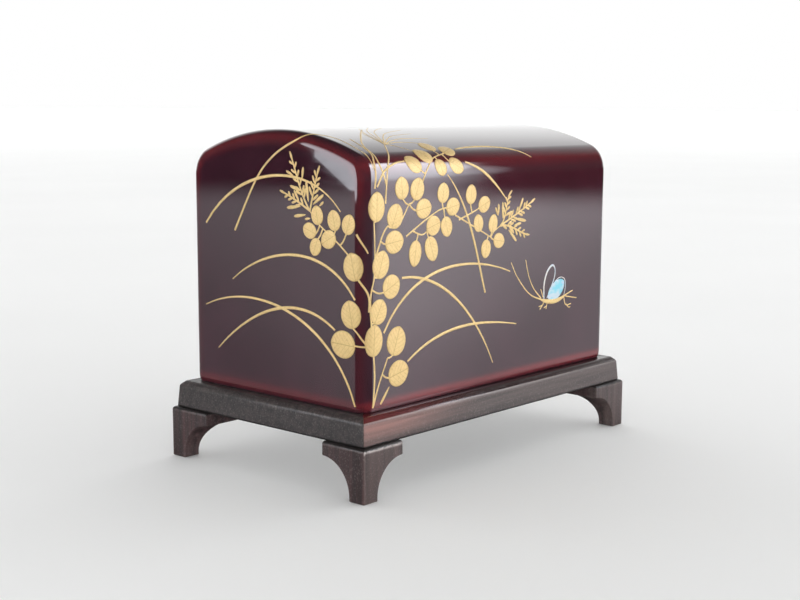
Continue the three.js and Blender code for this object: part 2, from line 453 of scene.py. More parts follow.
def gold_material(finish):
    """Gold powder set in lacquer: satin, grainy, thinner at the edge of a leaf and along its veins."""
    material, nodes, shader = new_material("gold_powder")
    place = nodes.place()
    powder = nodes.noise(place, 2600.0, 2.0)
    patches = nodes.step(nodes.noise(place, 650.0), 0.5, 0.8, 0.0, 0.25)
    grains = nodes.step(powder, 0.48, 0.75, 0.0, 0.3)
    thin = nodes.plus(nodes.most(leaf_veins(nodes), patches), grains, clamp=True)
    nodes.fill(shader, {
        "Base Color": nodes.mix(thin, finish.gold, finish.gold_thin),
        "Roughness": nodes.step(powder, 0.3, 0.7, 0.36, 0.52),
        "Normal": nodes.bump(powder, 0.25, 0.04 * MM),
        "Metallic": 0.5,
        "Coat Weight": 0.3,
        "Coat Roughness": 0.2,
    })
    return material


def gold_powder():
    """The gold finish, made the first time that it is asked for."""
    return bpy.data.materials.get("gold_powder") or gold_material(settings().finish)


def leaf_veins(nodes):
    """Where a leaf's gold is thin: a midrib, slanting side veins and the outer edge. Lines have none."""
    place = nodes.attribute("leaf_place", "Vector")
    x, y, _ = nodes.parts(place)
    across = nodes.size(x)
    midrib = nodes.step(across, 0.008, 0.024, 0.7, 0.0)
    slant = nodes.minus(y, nodes.times(across, 0.75))
    wave = nodes.math("PINGPONG", nodes.plus(slant, 2.0), 0.085)
    side = nodes.step(wave, 0.004, 0.02, 0.38, 0.0)
    rim = nodes.step(nodes.vector("LENGTH", place), 0.43, 0.5, 0.0, 0.65)
    return nodes.times(nodes.most(nodes.most(midrib, side), rim), nodes.attribute("on_leaf"))


def shell_material(name, main, pale, violet):
    """Thin shell with a main colour, pale and violet clouds, under a polished face."""
    material, nodes, shader = new_material(name)
    place = nodes.place()
    clouds = nodes.noise(nodes.stretched(place, (300.0, 300.0, 520.0)), 1.0)
    flakes = nodes.noise(place, 900.0, 2.0)
    colour = nodes.mix(nodes.step(clouds, 0.4, 0.62), main, pale)
    nodes.fill(shader, {
        "Base Color": nodes.mix(nodes.step(flakes, 0.56, 0.74, 0.0, 0.7), colour, violet),
        "Roughness": nodes.step(flakes, 0.3, 0.7, 0.08, 0.2),
        "Normal": nodes.bump(flakes, 0.1, 0.05 * MM),
        "Coat Weight": 0.8,
    })
    return material


# The lid's surface

class Vault:
    """The lid's section, measured from the front rim: straight sides, round shoulders and a vault."""

    def __init__(self, lid):
        self.half_length = lid.length / 2
        self.half_width = lid.width / 2
        self.rim = LID_LOW.z
        self.straight = lid.straight
        self.shoulder = lid.shoulder
        self.shoulder_y = self.half_width - lid.shoulder
        rise = lid.height - lid.straight
        self.radius = (self.shoulder_y ** 2 + rise ** 2 - lid.shoulder ** 2) / (2 * (rise - lid.shoulder))
        self.centre = lid.height - self.radius
        self.meet = math.atan2(lid.straight - self.centre, self.shoulder_y)
        self.shoulder_end = self.straight + self.shoulder * self.meet
        self.total = 2 * self.shoulder_end + self.radius * (math.pi - 2 * self.meet)

    def section(self, along):
        """Point (y, z above the rim) and outward normal at a distance along the section."""
        if along > self.total / 2:
            y, z, normal_y, normal_z = self.section(self.total - along)
            return -y, z, -normal_y, normal_z
        if along <= self.straight:
            return -self.half_width, along, -1.0, 0.0
        if along <= self.shoulder_end:
            angle = (along - self.straight) / self.shoulder
            centre_y, centre_z, radius = self.shoulder_y, self.straight, self.shoulder
        else:
            angle = self.meet + (along - self.shoulder_end) / self.radius
            centre_y, centre_z, radius = 0.0, self.centre, self.radius
        normal_y, normal_z = -math.cos(angle), math.sin(angle)
        return normal_y * radius - centre_y, normal_z * radius + centre_z, normal_y, normal_z

    def front(self, x, along):
        """Point on the front side, in millimetres from the rim, running on over the vault."""
        y, z, _, _ = self.section(along * MM)
        return Vector((x * MM, y, z + self.rim))

    def back(self, x, along):
        """Point on the back side, in millimetres from the rim. From behind, x runs to the right."""
        y, z, _, _ = self.section(self.total - along * MM)
        return Vector((-x * MM, y, z + self.rim))

    def left(self, y, height):
        """Point on the left gable, in millimetres above the rim."""
        return Vector((-self.half_length, y * MM, height * MM + self.rim))

    def right(self, y, height):
        """Point on the right gable, in millimetres above the rim."""
        return Vector((self.half_length, y * MM, height * MM + self.rim))


# Rows of points up the lid's sides, in millimetres, and steps round its curves and along its length
SIDE_ROWS = (2.3, 2.7, 3.2, 5.0, 8.0, 16.0, 26.0, 37.0)
SHOULDER_STEPS = 16
HALF_VAULT_STEPS = 22
EDGE_STEPS = 10
SPAN_STEPS = 8
RIM_STEPS = 6
END_RING = 0.0012


def section_rows(vault, rim_roll):
    """Distances along the section, from the front rim to the back rim."""
    half = [rim_roll] + scaled(SIDE_ROWS, MM)
    half += even_steps(vault.straight, vault.shoulder_end, SHOULDER_STEPS)
    half += even_steps(vault.shoulder_end, vault.total / 2, HALF_VAULT_STEPS)
    return half + [vault.total / 2] + [vault.total - row for row in reversed(half)]


def all_stations(half_length, edge):
    """Stations from the left end face to the right one: (x, how far the section is set in, turn)."""
    end = []
    for i in range(EDGE_STEPS + 1):
        turn = math.pi / 2 * i / EDGE_STEPS
        end.append((half_length - edge + edge * math.sin(turn), edge * (1 - math.cos(turn)), turn))
    end.append((half_length, edge + END_RING, math.pi / 2))
    start = [(-x, inset, -turn) for x, inset, turn in reversed(end)]
    span = half_length - edge
    return start + [(x, 0.0, 0.0) for x in even_steps(-span, span, SPAN_STEPS)[1:]] + end


def thin_coat(vault, along, turn, on_end):
    """How thin the lacquer is: at the rim, round the gables' edges and a little along the shoulders."""
    height = min(along, vault.total - along)
    rim = 1.0 - ramp(height, 1.7 * MM, 3.3 * MM)
    rim = 0.45 * rim * rim * (1.0 - 0.45 * math.sin(abs(turn)))
    if on_end:
        return rim
    gable_edge = peak(abs(turn), math.radians(66), math.radians(42))
    upper = ramp(height, 0.9 * vault.straight, vault.straight)
    middle = (vault.straight + vault.shoulder_end) / 2
    shoulder = peak(height, middle, 0.45 * (vault.shoulder_end - vault.straight))
    below = peak(height, vault.straight, 8.0 * MM)
    return max(rim, gable_edge * (0.08 + 0.16 * upper), 0.24 * shoulder, 0.05 * below)


class LidSkin:
    """Collects the lid's points, normals and faces."""

    def __init__(self, vault):
        self.vault = vault
        self.points = []
        self.normals = []
        self.thin = []
        self.faces = []

    def add_point(self, point, normal, thin):
        self.points.append(point + Vector((0.0, 0.0, self.vault.rim)))
        self.normals.append(normal)
        self.thin.append(thin)
        return len(self.points) - 1

    def add_face(self, corners, facing):
        self.faces.append(corners if facing > 0 else list(reversed(corners)))

    def add_shell(self, rows, stations, wall, facing):
        """One skin of the lid, set in by a wall. Facing is 1 for the outside and -1 for the inside."""
        grid = []
        for number, (x, inset, turn) in enumerate(stations):
            on_end = number in (0, len(stations) - 1)
            depth = wall + inset
            side = math.cos(turn)
            column = []
            for along in rows:
                y, z, normal_y, normal_z = self.vault.section(along)
                point = Vector((x, y - depth * normal_y, z - depth * normal_z))
                normal = Vector((math.sin(turn), side * normal_y, side * normal_z)) * facing
                column.append(self.add_point(point, normal, thin_coat(self.vault, along, turn, on_end)))
            grid.append(column)
        for left, right in zip(grid, grid[1:]):
            for j in range(len(rows) - 1):
                self.add_face([left[j], right[j], right[j + 1], left[j + 1]], facing)
        self.add_face(list(reversed(grid[-1])), facing)
        self.add_face(grid[0], facing)
        return [column[0] for column in grid] + [column[-1] for column in reversed(grid)]

    def add_rim(self, outer, inner, roll, depth):
        """Rolls the outer skin's lower edge under, runs flat across the wall and up to the inner skin."""
        turns = [math.pi / 2 * i / RIM_STEPS for i in range(1, RIM_STEPS + 1)]
        loops = [outer]
        loops += [self.rolled_loop(outer, turn, roll, depth) for turn in turns]
        loops += [self.rolled_loop(inner, turn, roll, depth) for turn in reversed(turns)]
        loops.append(inner)
        count = len(outer)
        for upper, lower in zip(loops, loops[1:]):
            for k in range(count):
                after = (k + 1) % count
                self.faces.append([upper[k], lower[k], lower[after], upper[after]])

    def rolled_loop(self, loop, turn, roll, depth):
        """The skin's lowest loop, carried down along an oval quarter round."""
        level, fall = math.cos(turn), math.sin(turn)
        rolled = []
        for index in loop:
            outward = self.normals[index]
            point = self.points[index] - outward * depth * (1 - level)
            point.z = roll - roll * fall
            normal = outward * roll * level - Vector((0.0, 0.0, depth * fall))
            rolled.append(self.add_point(point, normal.normalized(), 1.3 * self.thin[index] * level ** 2))
        return rolled


# Pieces

def mesh_from(name, points, faces, normals=None):
    mesh = bpy.data.meshes.new(name)
    mesh.from_pydata(points, [], faces)
    mesh.shade_smooth()
    if normals:
        mesh.normals_split_custom_set_from_vertices(normals)
    return mesh


def set_attribute(mesh, name, values):
    """Gives each of a mesh's points a number or a vector."""
    kind, field = ("FLOAT", "value") if isinstance(values[0], float) else ("FLOAT_VECTOR", "vector")
    for item, value in zip(mesh.attributes.new(name, kind, "POINT").data, values):
        setattr(item, field, value)


def new_piece(name, mesh, material=None):
    piece = bpy.data.objects.new(name, mesh)
    bpy.context.scene.collection.objects.link(piece)
    if material:
        mesh.materials.clear()
        mesh.materials.append(material)
    return piece


def plain_mesh(piece):
    """Turns what an object's modifiers make into its own plain mesh, and takes the modifiers off."""
    depsgraph = bpy.context.evaluated_depsgraph_get()
    before = piece.data
    mesh = bpy.data.meshes.new_from_object(
        piece.evaluated_get(depsgraph), preserve_all_data_layers=True, depsgraph=depsgraph
    )
    piece.modifiers.clear()
    piece.data = mesh
    name = before.name
    bpy.data.meshes.remove(before)
    mesh.name = name


def keep(piece, slot, *nodes):
    """Ties a finished piece to the frame."""
    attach(piece, BODY)
    if nodes:
        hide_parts(*nodes)


# Wooden pieces

# Wear: its reach from an edge, the least turn of a worn edge, and a broad face's least area per outline
WEAR_REACH = 0.0004
WEAR_TURN = math.radians(13.0)
BROAD_FACE = 0.0004

# Easing: the turn below which faces are one flat, the least turn of an eased edge, and the steps round it
FLAT_TURN = math.radians(1.0)
EASED_TURN = math.radians(30.0)
EASING_STEPS = 3


def eased_copy(node, name, easing, material):
    """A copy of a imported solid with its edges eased, and a worn value along its edges."""
    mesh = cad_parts[node].data.copy()
    mesh.name = name
    work = bmesh.new()
    work.from_mesh(mesh)
    bmesh.ops.remove_doubles(work, verts=work.verts, dist=1e-6)
    bmesh.ops.dissolve_limit(work, angle_limit=FLAT_TURN, verts=work.verts, edges=work.edges)
    work.to_mesh(mesh)
    work.free()
    piece = new_piece(name, mesh, material)
    bevel = piece.modifiers.new("eased edges", "BEVEL")
    bevel.width = easing
    bevel.segments = EASING_STEPS
    bevel.limit_method = "ANGLE"
    bevel.angle_limit = EASED_TURN
    plain_mesh(piece)
    wear_edges(piece.data)
    return piece


def wear_edges(mesh):
    """Frames the broad faces with a narrow border, and marks the points where the surface turns as worn."""
    work = bmesh.new()
    work.from_mesh(mesh)
    broad = [face for face in work.faces if face.calc_area() > BROAD_FACE * face.calc_perimeter()]
    bmesh.ops.inset_region(work, faces=broad, thickness=WEAR_REACH, use_boundary=True, use_even_offset=True)
    wear = []
    for vertex in work.verts:
        turn = max((edge.calc_face_angle(0.0) for edge in vertex.link_edges), default=0.0)
        wear.append(1.0 if turn > WEAR_TURN else 0.0)
    work.to_mesh(mesh)
    work.free()
    mesh.shade_smooth()
    set_attribute(mesh, "worn", wear)


# Node trees that lay the drawing on the lid

def new_tree(name, sockets):
    """A geometry node tree with named inputs: its nodes, its inputs and its end."""
    tree = bpy.data.node_groups.new(name, "GeometryNodeTree")
    tree.is_modifier = True
    tree.interface.new_socket("Geometry", in_out="OUTPUT", socket_type="NodeSocketGeometry")
    tree.interface.new_socket("Geometry", in_out="INPUT", socket_type="NodeSocketGeometry")
    for socket, kind in sockets.items():
        tree.interface.new_socket(socket, in_out="INPUT", socket_type="NodeSocket" + kind)
    nodes = Nodes(tree)
    return nodes, nodes.add("NodeGroupInput").outputs, nodes.add("NodeGroupOutput")


def end_tree(nodes, start, end, mesh):
    """Ends a tree with smooth faces, no instances, and the finish."""
    mesh = nodes.out("GeometryNodeSetShadeSmooth", {"Geometry": mesh})
    mesh = nodes.out("GeometryNodeRealizeInstances", {"Geometry": mesh})
    mesh = nodes.out("GeometryNodeSetMaterial", {"Geometry": mesh, "Material": start["Finish"]})
    nodes.fill(end, {"Geometry": mesh})
    return nodes.tree


def lid_contact(nodes, lid):
    """The lid's point that is nearest to a place, and the lid's normal there."""
    mesh = nodes.out("GeometryNodeObjectInfo", {"Object": lid}, "Geometry")
    place = nodes.out("GeometryNodeInputPosition")
    inputs = {"Target": mesh, "Source Position": place}
    contact = nodes.out("GeometryNodeProximity", inputs, "Position", target_element="FACES")
    inputs = {"Mesh": mesh, "Value": nodes.out("GeometryNodeInputNormal"), "Sample Position": place}
    return contact, nodes.out("GeometryNodeSampleNearestSurface", inputs, data_type="FLOAT_VECTOR")


def stroke_tree():
    """Brush lines: curves through carrier points, laid on the lid and given a flat oval section."""
    nodes, start, end = new_tree("brush_strokes", {
        "Lid": "Object", "Step": "Float", "Relief": "Float", "Sides": "Int", "Finish": "Material",
    })
    contact, normal = lid_contact(nodes, start["Lid"])
    curve = nodes.out("GeometryNodeMeshToCurve", {"Mesh": start["Geometry"]})
    curve = nodes.out("GeometryNodeCurveSplineType", {"Curve": curve}, spline_type="CATMULL_ROM")
    curve = nodes.out("GeometryNodeSetSplineResolution", {0: curve, "Resolution": CURVE_STEPS})
    curve = nodes.out("GeometryNodeResampleCurve", {"Curve": curve, "Length": start["Step"]}, mode="LENGTH")
    curve = nodes.out("GeometryNodeSetPosition", {"Geometry": curve, "Position": contact})
    curve = nodes.out("GeometryNodeSetCurveNormal", {"Curve": curve, "Normal": normal}, mode="FREE")
    circle = nodes.out("GeometryNodeCurvePrimitiveCircle", {"Resolution": start["Sides"], "Radius": 1.0})
    flat = nodes.out("ShaderNodeCombineXYZ", {"X": start["Relief"], "Y": 1.0, "Z": 1.0})
    line = nodes.out("GeometryNodeCurveToMesh", {
        "Curve": curve,
        "Profile Curve": nodes.out("GeometryNodeTransform", {"Geometry": circle, "Scale": flat}),
        "Scale": nodes.named("half_width"),
        "Fill Caps": True,
    })
    return end_tree(nodes, start, end, line)


def inlay_tree():
    """Small shapes: one shape at each carrier point, turned and sized, pressed onto the lid's surface."""
    nodes, start, end = new_tree("laid_shapes", {
        "Lid": "Object", "Shape": "Object", "Relief": "Float", "Finish": "Material",
    })
    contact, normal = lid_contact(nodes, start["Lid"])
    axes = {"Primary Axis": normal, "Secondary Axis": nodes.named("along", "FLOAT_VECTOR")}
    size = nodes.named("size")
    width = nodes.times(size, nodes.named("slim"))
    copies = nodes.out("GeometryNodeInstanceOnPoints", {
        "Points": start["Geometry"],
        "Instance": nodes.out("GeometryNodeObjectInfo", {"Object": start["Shape"]}, "Geometry"),
        "Rotation": nodes.out("FunctionNodeAxesToRotation", axes, primary_axis="Z", secondary_axis="Y"),
        "Scale": nodes.out("ShaderNodeCombineXYZ", {"X": width, "Y": size, "Z": size}),
    })
    whole = nodes.out("GeometryNodeRealizeInstances", {"Geometry": copies})
    rise = nodes.times(nodes.named("rise"), start["Relief"])
    lift = nodes.out("ShaderNodeVectorMath", {0: normal, "Scale": rise}, operation="SCALE")
    above = nodes.vector("ADD", contact, lift)
    pressed = nodes.out("GeometryNodeSetPosition", {"Geometry": whole, "Position": above})
    return end_tree(nodes, start, end, pressed)


def lay_on_lid(name, slot, points, edges, attributes, tree, values):
    """Runs a node tree on a carrier, its inputs set by their identifiers, and keeps the plain mesh."""
    mesh = bpy.data.meshes.new(name)
    mesh.from_pydata(points, edges, [])
    for attribute, numbers in attributes.items():
        set_attribute(mesh, attribute, numbers)
    piece = new_piece(name, mesh)
    modifier = piece.modifiers.new(tree.name, "NODES")
    modifier.node_group = tree
    values["Lid"] = bpy.data.objects["lacquer_lid"]
    for item in tree.interface.items_tree:
        if item.in_out == "INPUT" and item.name in values:
            modifier[item.identifier] = values[item.name]
    plain_mesh(piece)
    if not piece.data.polygons:
        raise RuntimeError(f"{name}: the drawing came out empty")
    keep(piece, slot)


LINE_SIDES = 8
CURVE_STEPS = 16


class Strokes:
    """Collects brush lines as chains of points, each with half the line's width."""

    def __init__(self):
        self.points = []
        self.edges = []
        self.widths = []

    def line(self, points, start_width, end_width):
        """One line whose width runs evenly from its first point to its last."""
        self.swelling(points, even_steps(start_width, end_width, len(points) - 1) + [end_width])

    def swelling(self, points, widths):
        """One line with its own half width at each point."""
        first = len(self.points)
        self.points += points
        self.widths += widths
        self.edges += [(i, i + 1) for i in range(first, len(self.points) - 1)]

    def make(self, name, slot, material):
        drawing = settings().drawing
        tree = bpy.data.node_groups.get("brush_strokes") or stroke_tree()
        lay_on_lid(name, slot, self.points, self.edges, {"half_width": self.widths}, tree, {
            "Step": drawing.spacing, "Relief": drawing.line_relief, "Sides": LINE_SIDES, "Finish": material,
        })


class Shapes:
    """Collects the places, directions and sizes of one small shape."""

    def __init__(self):
        self.points = []
        self.along = []
        self.sizes = []
        self.slims = []

    def put(self, point, along, size, slim):
        self.points.append(point)
        self.along.append(along)
        self.sizes.append(size)
        self.slims.append(slim)

    def make(self, name, shape, slot, material):
        tree = bpy.data.node_groups.get("laid_shapes") or inlay_tree()
        attributes = {"along": self.along, "size": self.sizes, "slim": self.slims}
        lay_on_lid(name, slot, self.points, [], attributes, tree, {
            "Shape": shape, "Relief": settings().drawing.leaf_relief, "Finish": material,
        })
        bpy.data.objects.remove(shape)


def round_shape(name, outline, rings, on_leaf):
    """A low cushion round the origin, closed below: rings of (share of the outline, rise)."""
    count = len(outline)
    points = [(x * share, y * share, 0.0) for share, _ in rings for x, y in outline]
    rises = [rise for _, rise in rings for _ in outline]
    last = len(points) - count
    top, bottom = len(points), len(points) + 1
    points += [(0.0, 0.0, 0.0)] * 2
    rises += [1.0, rings[0][1]]
    faces = []
    for k in range(count):
        after = (k + 1) % count
        for low in range(0, last, count):
            faces.append((low + k, low + after, low + count + after, low + count + k))
        faces.append((last + k, last + after, top))
        faces.append((after, k, bottom))
    mesh = mesh_from(name, points, faces)
    set_attribute(mesh, "rise", rises)
    set_attribute(mesh, "leaf_place", points)
    set_attribute(mesh, "on_leaf", [on_leaf] * len(points))
    return new_piece(name, mesh)


# Rings of a leaf and a bud: the share of the outline, and the rise as a share of the relief
LEAF_SIDES = 27
LEAF_RINGS = ((1.0, -0.5), (0.985, 0.35), (0.93, 0.72), (0.7, 0.9), (0.4, 0.98))
BUD_SIDES = 10
BUD_RINGS = ((1.0, -0.5), (0.8, 0.75))


def leaf_outline():
    """A round leaf of unit length and width, along +Y, with a small nib at its tip."""
    outline = []
    for k in range(LEAF_SIDES):
        turn = 2 * math.pi * (k + 0.5) / LEAF_SIDES
        nib = 0.02 * max(0.0, math.cos(turn - math.pi)) ** 30
        belly = 1.0 + 0.03 * math.cos(turn)
        outline.append((-0.5 * math.sin(turn) * belly, -0.5 * math.cos(turn) + nib))
    return outline


def bud_outline():
    """A drop of unit length and width, along +Y, fine at its foot."""
    outline = []
    for k in range(BUD_SIDES):
        turn = 2 * math.pi * k / BUD_SIDES
        taper = 0.72 - 0.28 * math.cos(turn)
        outline.append((-0.5 * math.sin(turn) * taper, -0.5 * math.cos(turn)))
    return outline


# The drawing

# A leaf's width to its length, the shortest stalk in millimetres, a bud's lean and the steps of a path
LEAF_SLIM = 0.86
STALK_LEAST = 0.35
BUD_LEAN = math.radians(38.0)
PATH_STEPS = 14


def smooth_path(places):
    """Points on the one smooth curve that runs through a few places."""
    places = [Vector(place) for place in places]
    marks = [0.0]
    for before, after in zip(places, places[1:]):
        marks.append(marks[-1] + (after - before).length)
    path = []
    for k in range(PATH_STEPS + 1):
        mark = marks[-1] * k / PATH_STEPS
        point = Vector((0.0, 0.0))
        for i, place in enumerate(places):
            weight = 1.0
            for j in range(len(places)):
                if j != i:
                    weight *= (mark - marks[j]) / (marks[i] - marks[j])
            point += place * weight
        path.append(point)
    return path


def nearest_on(path, place):
    """The point of a chain of points that is nearest to a place."""
    best = None
    for start, end in zip(path, path[1:]):
        start, end = Vector(start), Vector(end)
        run = end - start
        found = start + run * ramp((place - start).dot(run), 0.0, run.length_squared)
        if best is None or (found - place).length < (best - place).length:
            best = found
    return best


class Painter:
    """Draws stems, leaves, blades and flower spikes on one side of the lid."""

    def __init__(self, side, strokes, leaves, buds):
        self.side = side
        self.strokes = strokes
        self.leaves = leaves
        self.buds = buds
        self.sizes = settings().drawing

    def points(self, places):
        return [self.side(u, v) for u, v in places]

    def blade(self, *places):
        """A grass blade from its root to its tip, broadest a third of the way along."""
        path = smooth_path(places)
        broad, fine = self.sizes.blade_root, self.sizes.blade_tip
        swell = [math.sin(math.pi * (0.2 + 0.8 * i / PATH_STEPS)) for i in range(PATH_STEPS + 1)]
        self.strokes.swelling(self.points(path), [fine + (broad - fine) * share for share in swell])

    def stem(self, places, share=1.0):
        width = self.sizes.stem * share
        self.strokes.line(self.points(places), width, 0.7 * width)

    def leaf(self, u, v, length, lean, slim=LEAF_SLIM):
        """A leaf by its middle, its length and its lean from upright in degrees. Returns its foot."""
        turn = math.radians(lean)
        step_u, step_v = math.sin(turn) * length / 2, math.cos(turn) * length / 2
        foot = self.side(u - step_u, v - step_v)
        tip = self.side(u + step_u, v + step_v)
        self.leaves.put(self.side(u, v), (tip - foot).normalized(), length * MM, slim)
        return u - step_u * 0.92, v - step_v * 0.92

    def sprig(self, stem, leaves, share=1.0):
        """A stem with leaves, each on a short stalk from the stem's nearest point."""
        self.stem(stem, share)
        for leaf in leaves:
            foot = Vector(self.leaf(*leaf))
            joint = nearest_on(stem, foot)
            if (joint - foot).length > STALK_LEAST:
                middle = foot.lerp(joint, 0.5) + Vector((0.0, -0.12 * (joint - foot).length))
                stalk = self.points([foot, middle, joint])
                self.strokes.line(stalk, self.sizes.petiole, self.sizes.petiole)

    def spike(self, stem, pairs, bud_length):
        """A flower spike: a fine stem, buds in pairs that grow smaller upwards, and one bud at the tip."""
        path = smooth_path(stem)
        self.strokes.line(self.points(path), 1.2 * self.sizes.petiole, self.sizes.petiole)
        for k in range(pairs):
            share = 0.22 + 0.65 * k / pairs
            step = int(share * PATH_STEPS)
            joint = path[step]
            run = (path[step + 1] - joint).normalized()
            grown = bud_length * (1.15 - 0.6 * share)
            for hand, delay in ((-1, 0.0), (1, 0.35)):
                turn = math.atan2(run.x, run.y) + hand * BUD_LEAN
                foot = joint + run * delay * bud_length
                self.bud(foot, foot + Vector((math.sin(turn), math.cos(turn))) * grown)
        end = path[-1] - path[-2]
        self.bud(path[-1] - end.normalized() * bud_length, path[-1])

    def bud(self, foot, tip):
        """A drop-shaped bud from its fine foot to its round tip. Short buds are plumper than long ones."""
        foot, tip = Vector(foot), Vector(tip)
        start, end = self.side(*foot), self.side(*tip)
        length = (end - start).length
        width = self.sizes.bud_width + 0.12 * length
        middle = self.side(*foot.lerp(tip, 0.5))
        self.buds.put(middle, (end - start).normalized(), length, width / length)


def paint_front(painter):
    """The front: leafy stems at the left edge, sprigs to the middle, a flower head and arching blades."""
    painter.blade((-38.4, 16.4), (-28.6, 25.2), (-12.7, 28.5), (4.7, 25.4))
    painter.blade((-32.8, 27.4), (-24.9, 26.3), (-10.7, 17.6), (-1.4, 5.0))
    painter.blade((-30.9, 9.4), (-16.8, 14.3), (-0.7, 14.2), (7.4, 12.9))
    painter.blade((-4.5, 21.4), (-8.3, 32.4), (-12.9, 42.1), (-18.1, 48.4))
    painter.blade((-11.1, 51.0), (-6.7, 49.2), (-1.8, 46.1), (3.2, 41.8))
    painter.blade((-10.8, 55.2), (-0.9, 56.1), (6.9, 54.8), (13.6, 51.4))
    painter.blade((-39.4, 1.5), (-36.7, 4.8))
    painter.sprig(
        [(-41.7, 1.1), (-41.2, 8.0), (-42.0, 17.0), (-42.4, 24.0), (-41.2, 29.0), (-41.2, 36.0),
         (-41.4, 39.6)],
        [(-41.4, 15.1, 6.7, 3, 0.8), (-40.0, 21.0, 5.4, 28, 0.95), (-36.1, 25.9, 5.4, 66, 0.95),
         (-39.3, 30.7, 5.9, 20), (-40.6, 42.6, 6.2, 2, 0.78)],
    )
    painter.sprig(
        [(-41.7, 1.1), (-39.9, 5.7), (-37.2, 11.0)],
        [(-34.5, 14.2, 6.3, 20, 0.95), (-33.8, 7.3, 6.4, 78, 0.88)],
    )
    painter.sprig(
        [(-41.1, 32.0), (-38.8, 36.8), (-37.2, 38.6)],
        [(-35.0, 40.4, 5.3, 24, 0.92), (-35.2, 35.1, 5.7, 84)],
    )
    painter.sprig(
        [(-33.5, 38.6), (-31.7, 41.2), (-30.6, 42.7)],
        [(-32.9, 46.1, 4.8, -8, 0.9), (-28.0, 45.7, 4.9, 22, 0.9), (-25.9, 41.5, 5.0, 82)], 0.8,
    )
    painter.sprig(
        [(-31.5, 36.0), (-26.3, 38.6), (-21.4, 40.7), (-18.6, 41.3)],
        [(-19.5, 44.5, 4.4, 8, 0.9), (-16.2, 41.4, 4.6, 80), (-18.3, 37.2, 4.5, 164)], 0.8,
    )
    painter.sprig(
        [(-29.5, 37.0), (-26.6, 36.0), (-24.8, 36.6)],
        [(-28.6, 32.2, 5.6, 188, 0.72), (-23.3, 32.8, 5.6, 158, 0.76), (-22.7, 37.7, 4.7, 75, 0.92)], 0.8,
    )
    painter.sprig(
        [(-15.4, 39.5), (-12.0, 38.0), (-6.6, 35.6), (-2.7, 33.8)],
        [(-7.2, 37.2, 4.0, -12), (-4.4, 31.3, 4.2, 190, 0.84), (0.3, 32.8, 4.1, 100),
         (-1.9, 36.8, 4.2, 14, 0.78)], 0.8,
    )
    painter.sprig(
        [(-14.1, 38.4), (-10.2, 39.5), (-7.4, 40.4)],
        [(-9.9, 43.7, 4.4, 6), (-5.2, 41.3, 4.3, 70)], 0.8,
    )
    painter.stem([(-40.5, 46.7), (-38.1, 49.7), (-34.2, 51.4), (-30.7, 51.9)])
    painter.sprig(
        [(-26.5, 46.8), (-25.0, 49.2), (-21.4, 52.2), (-17.4, 53.4)],
        [(-28.2, 51.2, 4.9, -48), (-23.4, 53.4, 5.0, -32), (-19.8, 50.1, 4.0, 172, 0.95),
         (-14.5, 50.3, 4.6, 118), (-14.2, 54.7, 4.7, 66), (-18.4, 57.0, 4.6, 10)], 0.8,
    )
    painter.spike([(0.7, 36.1), (1.9, 37.2), (3.1, 40.5), (5.0, 43.9)], 4, 2.1)
    painter.spike([(0.7, 36.1), (4.7, 37.6), (9.0, 39.3), (13.9, 41.6)], 6, 2.5)
    painter.spike([(0.7, 36.1), (6.0, 35.2), (8.3, 34.3), (11.9, 33.3)], 5, 2.2)
    for foot, tip in (
        ((1.7, 37.4), (1.6, 41.7)), ((0.0, 38.3), (0.1, 41.3)), ((-0.1, 38.4), (-1.1, 40.5)),
        ((7.8, 39.3), (9.4, 42.2)), ((6.0, 37.5), (10.8, 36.6)), ((5.7, 35.8), (8.9, 36.3)),
        ((3.7, 35.2), (7.2, 32.0)), ((1.3, 36.3), (3.4, 35.2)), ((2.8, 38.3), (5.3, 39.2)),
    ):
        painter.bud(foot, tip)
    painter.stem([(-2.7, 33.8), (-1.5, 35.0), (0.7, 36.1)], 0.7)


def paint_vault(painter):
    """The vault: three fine stems that come over the shoulder, and a plume of fine lines."""
    for stem in (
        [(-41.2, 46.4), (-40.2, 51.3), (-38.6, 54.9), (-37.4, 59.5), (-36.5, 63.0)],
        [(-37.7, 47.0), (-38.5, 49.9), (-38.5, 53.1), (-36.5, 59.2), (-29.4, 66.7), (-23.6, 71.8)],
        [(-37.9, 43.2), (-37.8, 45.3), (-37.1, 49.6), (-35.0, 52.6), (-29.8, 59.3)],
    ):
        painter.stem(stem, 0.95)
    plume = painter.sizes.plume
    root_u, root_v = -29.8, 59.3
    for u, v in (
        (-27.0, 69.0), (-22.7, 73.6), (-17.6, 75.6), (-13.7, 74.9), (-12.3, 70.4),
        (-13.6, 66.2), (-12.6, 62.0), (-16.5, 58.2), (-25.1, 54.4),
    ):
        bow = ((u + root_u) / 2 - (v - root_v) * 0.08, (v + root_v) / 2 + (u - root_u) * 0.1)
        painter.strokes.line(painter.points([(root_u, root_v), bow, (u, v)]), 1.3 * plume, 0.6 * plume)


